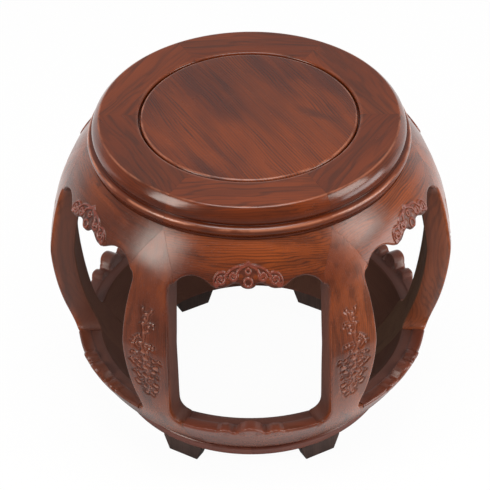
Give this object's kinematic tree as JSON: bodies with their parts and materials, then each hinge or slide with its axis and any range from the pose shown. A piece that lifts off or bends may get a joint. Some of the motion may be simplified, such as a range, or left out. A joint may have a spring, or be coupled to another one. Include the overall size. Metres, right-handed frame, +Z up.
{
  "type": "stool",
  "caption": "Round drum-shaped stool in polished reddish hardwood: framed seat, curved legs with windows between them, aprons, base ring and block feet",
  "frame": {"origin": "middle of the bottom, on the floor under the centre of the seat", "axes": "+Z up through the seat; -Y through the middle of one window; X across it"},
  "size_m": [0.478, 0.441, 0.4],
  "materials": {
    "panel_wood": "polished",
    "frame_wood": "polished",
    "leg_wood": "polished",
    "apron_wood": "polished",
    "ring_wood": "polished",
    "foot_wood": "matt",
    "inner_wood": "bare"
  },
  "bodies": {
    "root": {"seat_panel": "panel_wood", "seat_frame_1": "frame_wood", "seat_frame_2": "frame_wood", "seat_frame_3": "frame_wood", "seat_frame_4": "frame_wood", "seat_frame_5": "frame_wood", "seat_frame_6": "frame_wood", "leg_1": "leg_wood", "leg_2": "leg_wood", "leg_3": "leg_wood", "leg_4": "leg_wood", "leg_5": "leg_wood", "leg_6": "leg_wood", "upper_apron_1": "apron_wood", "upper_apron_2": "apron_wood", "upper_apron_3": "apron_wood", "upper_apron_4": "apron_wood", "upper_apron_5": "apron_wood", "upper_apron_6": "apron_wood", "lower_apron_1": "apron_wood", "lower_apron_2": "apron_wood", "lower_apron_3": "apron_wood", "lower_apron_4": "apron_wood", "lower_apron_5": "apron_wood", "lower_apron_6": "apron_wood", "base_ring_1": "ring_wood", "base_ring_2": "ring_wood", "base_ring_3": "ring_wood", "base_ring_4": "ring_wood", "base_ring_5": "ring_wood", "base_ring_6": "ring_wood", "foot_1": "foot_wood", "foot_2": "foot_wood", "foot_3": "foot_wood", "foot_4": "foot_wood", "foot_5": "foot_wood", "foot_6": "foot_wood", "seat_batten_1": "inner_wood", "seat_batten_2": "inner_wood", "frame_key_1": "inner_wood", "frame_key_2": "inner_wood", "frame_key_3": "inner_wood", "frame_key_4": "inner_wood", "frame_key_5": "inner_wood", "frame_key_6": "inner_wood", "ring_key_1": "inner_wood", "ring_key_2": "inner_wood", "ring_key_3": "inner_wood", "ring_key_4": "inner_wood", "ring_key_5": "inner_wood", "ring_key_6": "inner_wood"}
  },
  "joints": []
}
